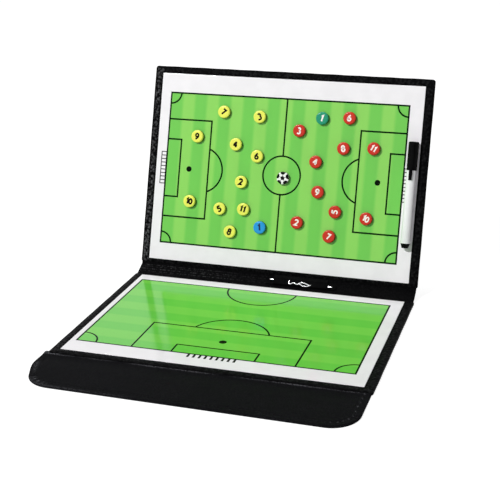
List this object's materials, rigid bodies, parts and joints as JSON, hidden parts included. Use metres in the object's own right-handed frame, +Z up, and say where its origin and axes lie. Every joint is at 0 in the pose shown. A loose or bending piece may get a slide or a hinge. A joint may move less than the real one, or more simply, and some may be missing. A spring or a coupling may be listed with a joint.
{
  "type": "folding tactics board",
  "caption": "Leather folder that opens to two printed magnetic pitch boards, with sliding magnetic player chips, a capped marker, a spring clip on the spine and a magnetic closing flap.",
  "frame": {"origin": "under the middle of the lower board, on the underside of the lower cover, where the folder lies on a table", "axes": "+X to the right along the spine, +Y from the flap towards the spine and the standing cover, +Z up from the table"},
  "size_m": [0.3206, 0.379, 0.2242],
  "materials": {
    "black_leather": "grained",
    "lining_leather": "grained",
    "grey_board": "raw",
    "sheet_steel": "plain",
    "printed_film": "gloss",
    "clip_black": "satin",
    "clip_bright": "polished",
    "spring_steel": "plain",
    "ferrite": "raw",
    "marker_black": "satin",
    "marker_white": "gloss",
    "marker_felt": "felt",
    "chip_yellow": "gloss",
    "chip_red": "gloss",
    "chip_blue": "gloss",
    "chip_teal": "gloss",
    "chip_white": "gloss"
  },
  "bodies": {
    "lower_cover": {"lower_cover_leather": "black_leather", "lower_stiffener": "grey_board", "lower_infill_card": "grey_board", "lower_steel_sheet": "sheet_steel", "lower_pitch_film": "printed_film"},
    "spine": {"spine_leather": "black_leather", "spine_stiffener": "grey_board", "clip_base": "clip_black", "clip_pin": "clip_bright", "clip_rivets": "clip_bright", "clip_spring": "spring_steel"},
    "upper_cover": {"upper_cover_leather": "black_leather", "upper_stiffener": "grey_board", "upper_infill_card": "grey_board", "upper_steel_sheet": "sheet_steel", "upper_pitch_film": "printed_film", "closure_keeper_plates": "sheet_steel"},
    "clip_jaw": {"clip_jaw": "clip_black", "clip_lever": "clip_bright"},
    "gusset": {"gusset_leather": "black_leather"},
    "flap": {"flap_leather": "black_leather", "flap_lining": "lining_leather", "flap_stiffener": "grey_board", "flap_magnets": "ferrite"},
    "marker_cap": {"marker_cap": "marker_black", "cap_magnet": "ferrite"},
    "marker_body": {"marker_barrel": "marker_white", "marker_nose": "marker_black", "marker_nib": "marker_felt", "marker_ink_core": "marker_felt", "marker_end_plug": "marker_black"},
    "chip_yellow_2": {"chip_yellow_2": "chip_yellow"},
    "chip_yellow_3": {"chip_yellow_3": "chip_yellow"},
    "chip_yellow_4": {"chip_yellow_4": "chip_yellow"},
    "chip_yellow_5": {"chip_yellow_5": "chip_yellow"},
    "chip_yellow_6": {"chip_yellow_6": "chip_yellow"},
    "chip_yellow_7": {"chip_yellow_7": "chip_yellow"},
    "chip_yellow_8": {"chip_yellow_8": "chip_yellow"},
    "chip_yellow_9": {"chip_yellow_9": "chip_yellow"},
    "chip_yellow_10": {"chip_yellow_10": "chip_yellow"},
    "chip_yellow_11": {"chip_yellow_11": "chip_yellow"},
    "chip_blue_1": {"chip_blue_1": "chip_blue"},
    "chip_red_2": {"chip_red_2": "chip_red"},
    "chip_red_3": {"chip_red_3": "chip_red"},
    "chip_red_4": {"chip_red_4": "chip_red"},
    "chip_red_5": {"chip_red_5": "chip_red"},
    "chip_red_6": {"chip_red_6": "chip_red"},
    "chip_red_7": {"chip_red_7": "chip_red"},
    "chip_red_8": {"chip_red_8": "chip_red"},
    "chip_red_9": {"chip_red_9": "chip_red"},
    "chip_red_10": {"chip_red_10": "chip_red"},
    "chip_red_11": {"chip_red_11": "chip_red"},
    "chip_teal_1": {"chip_teal_1": "chip_teal"},
    "chip_ball": {"chip_ball": "chip_white"}
  },
  "joints": [
    {"name": "spine_fold", "type": "hinge", "parent": "lower_cover", "child": "spine", "pos_m": [0, 0.1117, 0.0028], "axis": [1, 0, 0], "range_deg": [-24.6, 65.4]},
    {"name": "cover_fold", "type": "hinge", "parent": "spine", "child": "upper_cover", "pos_m": [0, 0.12661, 0.00963], "axis": [1, 0, 0], "range_deg": [-47.9, 42.1]},
    {"name": "gusset_fold", "type": "hinge", "parent": "lower_cover", "child": "gusset", "pos_m": [0, -0.115, 0.0008], "axis": [-1, 0, 0], "range_deg": [0, 90]},
    {"name": "flap_fold", "type": "hinge", "parent": "gusset", "child": "flap", "pos_m": [0, -0.1387, 0.0008], "axis": [-1, 0, 0], "range_deg": [0, 90]},
    {"name": "clip_open", "type": "hinge", "parent": "spine", "child": "clip_jaw", "pos_m": [0.032, 0.11802, 0.00965], "axis": [1, 0, 0], "range_deg": [-25, 0], "stiffness_Nm_per_rad": 0.05, "springref_deg": 11.46, "deforming": ["clip_spring"]},
    {"name": "cap_slide", "type": "slide", "parent": "upper_cover", "child": "marker_cap", "axis": [0, 0.3007, 0.9537], "range_m": [-0.02, 0.05]},
    {"name": "cap_pull", "type": "slide", "parent": "marker_cap", "child": "marker_body", "axis": [0, -0.3007, -0.9537], "range_m": [0, 0.032]},
    {"name": "chip_yellow_2_slide", "type": "slide", "parent": "upper_cover", "child": "chip_yellow_2", "axis": [0, 0.3007, 0.9537], "range_m": [-0.01, 0.01]},
    {"name": "chip_yellow_3_slide", "type": "slide", "parent": "upper_cover", "child": "chip_yellow_3", "axis": [1, 0, 0], "range_m": [-0.01, 0.025]},
    {"name": "chip_yellow_4_slide", "type": "slide", "parent": "upper_cover", "child": "chip_yellow_4", "axis": [0, 0.3007, 0.9537], "range_m": [-0.015, 0.015]},
    {"name": "chip_yellow_5_slide", "type": "slide", "parent": "upper_cover", "child": "chip_yellow_5", "axis": [1, 0, 0], "range_m": [-0.015, 0.005]},
    {"name": "chip_yellow_6_slide", "type": "slide", "parent": "upper_cover", "child": "chip_yellow_6", "axis": [0, 0.3007, 0.9537], "range_m": [-0.01, 0.025]},
    {"name": "chip_yellow_7_slide", "type": "slide", "parent": "upper_cover", "child": "chip_yellow_7", "axis": [1, 0, 0], "range_m": [-0.05, 0.01]},
    {"name": "chip_yellow_8_slide", "type": "slide", "parent": "upper_cover", "child": "chip_yellow_8", "axis": [0, 0.3007, 0.9537], "range_m": [-0.025, 0.01]},
    {"name": "chip_yellow_9_slide", "type": "slide", "parent": "upper_cover", "child": "chip_yellow_9", "axis": [1, 0, 0], "range_m": [-0.035, 0.025]},
    {"name": "chip_yellow_10_slide", "type": "slide", "parent": "upper_cover", "child": "chip_yellow_10", "axis": [0, 0.3007, 0.9537], "range_m": [-0.03, 0.03]},
    {"name": "chip_yellow_11_slide", "type": "slide", "parent": "upper_cover", "child": "chip_yellow_11", "axis": [1, 0, 0], "range_m": [-0.005, 0.045]},
    {"name": "chip_blue_1_slide", "type": "slide", "parent": "upper_cover", "child": "chip_blue_1", "axis": [1, 0, 0], "range_m": [-0.015, 0.02]},
    {"name": "chip_red_2_slide", "type": "slide", "parent": "upper_cover", "child": "chip_red_2", "axis": [0, 0.3007, 0.9537], "range_m": [-0.04, 0.015]},
    {"name": "chip_red_3_slide", "type": "slide", "parent": "upper_cover", "child": "chip_red_3", "axis": [0, 0.3007, 0.9537], "range_m": [-0.015, 0.045]},
    {"name": "chip_red_4_slide", "type": "slide", "parent": "upper_cover", "child": "chip_red_4", "axis": [1, 0, 0], "range_m": [-0.045, 0.01]},
    {"name": "chip_red_5_slide", "type": "slide", "parent": "upper_cover", "child": "chip_red_5", "axis": [1, 0, 0], "range_m": [-0.02, 0.01]},
    {"name": "chip_red_6_slide", "type": "slide", "parent": "upper_cover", "child": "chip_red_6", "axis": [0, 0.3007, 0.9537], "range_m": [-0.01, 0.03]},
    {"name": "chip_red_7_slide", "type": "slide", "parent": "upper_cover", "child": "chip_red_7", "axis": [0, 0.3007, 0.9537], "range_m": [-0.03, 0.01]},
    {"name": "chip_red_8_slide", "type": "slide", "parent": "upper_cover", "child": "chip_red_8", "axis": [0, 0.3007, 0.9537], "range_m": [-0.03, 0.005]},
    {"name": "chip_red_9_slide", "type": "slide", "parent": "upper_cover", "child": "chip_red_9", "axis": [1, 0, 0], "range_m": [-0.015, 0.045]},
    {"name": "chip_red_10_slide", "type": "slide", "parent": "upper_cover", "child": "chip_red_10", "axis": [1, 0, 0], "range_m": [-0.005, 0.03]},
    {"name": "chip_red_11_slide", "type": "slide", "parent": "upper_cover", "child": "chip_red_11", "axis": [0, 0.3007, 0.9537], "range_m": [-0.03, 0.03]},
    {"name": "chip_teal_1_slide", "type": "slide", "parent": "upper_cover", "child": "chip_teal_1", "axis": [0, 0.3007, 0.9537], "range_m": [-0.03, 0.03]},
    {"name": "chip_ball_slide", "type": "slide", "parent": "upper_cover", "child": "chip_ball", "axis": [1, 0, 0], "range_m": [-0.015, 0.015]}
  ]
}
